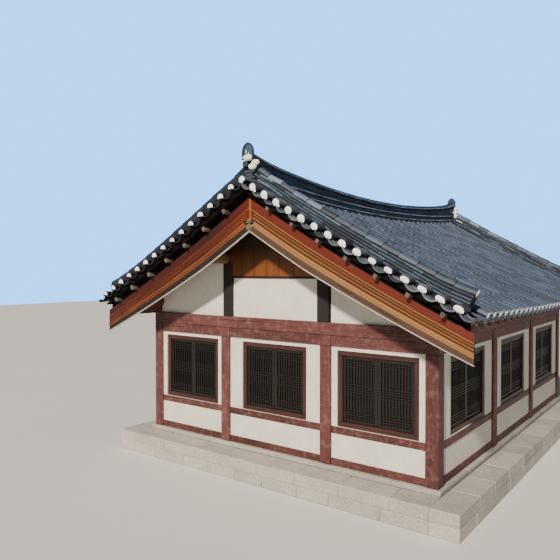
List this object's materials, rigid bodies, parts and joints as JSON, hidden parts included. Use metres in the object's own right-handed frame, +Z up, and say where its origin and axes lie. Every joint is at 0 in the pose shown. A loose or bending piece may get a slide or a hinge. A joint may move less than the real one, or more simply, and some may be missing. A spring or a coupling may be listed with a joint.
{
  "type": "hanok house",
  "caption": "Single-storey hanok: timber frame and plastered walls on a stone platform, under a tiled gable roof with a curved ridge, rake ridges and bargeboards",
  "frame": {"origin": "On the ground, under the middle of the house", "axes": "+Z up, X along the ridge with -X at the gable the picture shows, -Y the street side and +Y the yard side with the door"},
  "size_m": [10.4, 8.4, 6.267],
  "materials": {
    "granite": "dressed granite, matt",
    "clay_floor": "clay bed with an oiled paper face, satin",
    "painted_timber": "red-brown paint, weathered and matt",
    "window_timber": "red-brown paint, satin",
    "lime_plaster": "lime plaster, matt",
    "gable_timber": "old pine with brown stain, matt",
    "bare_timber": "planed pine, matt",
    "board_timber": "orange-brown stained pine, satin",
    "roof_tile": "smoke-fired clay tile, matt blue-grey",
    "ridge_tile": "smoke-fired clay tile with lime joints, matt"
  },
  "bodies": {
    "root": {"floor": "clay_floor", "left_bargeboards": "board_timber", "left_gable": "gable_timber", "left_post_1": "painted_timber", "left_post_2": "painted_timber", "left_ridge_end": "ridge_tile", "left_wall": "lime_plaster", "left_window_1": "window_timber", "left_window_2": "window_timber", "left_window_3": "window_timber", "main_ridge": "ridge_tile", "platform": "granite", "right_bargeboards": "board_timber", "right_gable": "gable_timber", "right_post_1": "painted_timber", "right_post_2": "painted_timber", "right_ridge_end": "ridge_tile", "right_wall": "lime_plaster", "right_window_1": "window_timber", "right_window_2": "window_timber", "right_window_3": "window_timber", "roof_frame": "bare_timber", "street_left_rake_ridge": "ridge_tile", "street_plate": "painted_timber", "street_post_1": "painted_timber", "street_post_2": "painted_timber", "street_post_3": "painted_timber", "street_post_4": "painted_timber", "street_right_rake_ridge": "ridge_tile", "street_roof": "roof_tile", "street_wall": "lime_plaster", "street_window_1": "window_timber", "street_window_2": "window_timber", "street_window_3": "window_timber", "yard_door": "window_timber", "yard_left_rake_ridge": "ridge_tile", "yard_plate": "painted_timber", "yard_post_1": "painted_timber", "yard_post_2": "painted_timber", "yard_post_3": "painted_timber", "yard_post_4": "painted_timber", "yard_right_rake_ridge": "ridge_tile", "yard_roof": "roof_tile", "yard_wall": "lime_plaster", "yard_window_1": "window_timber", "yard_window_3": "window_timber"}
  },
  "joints": []
}
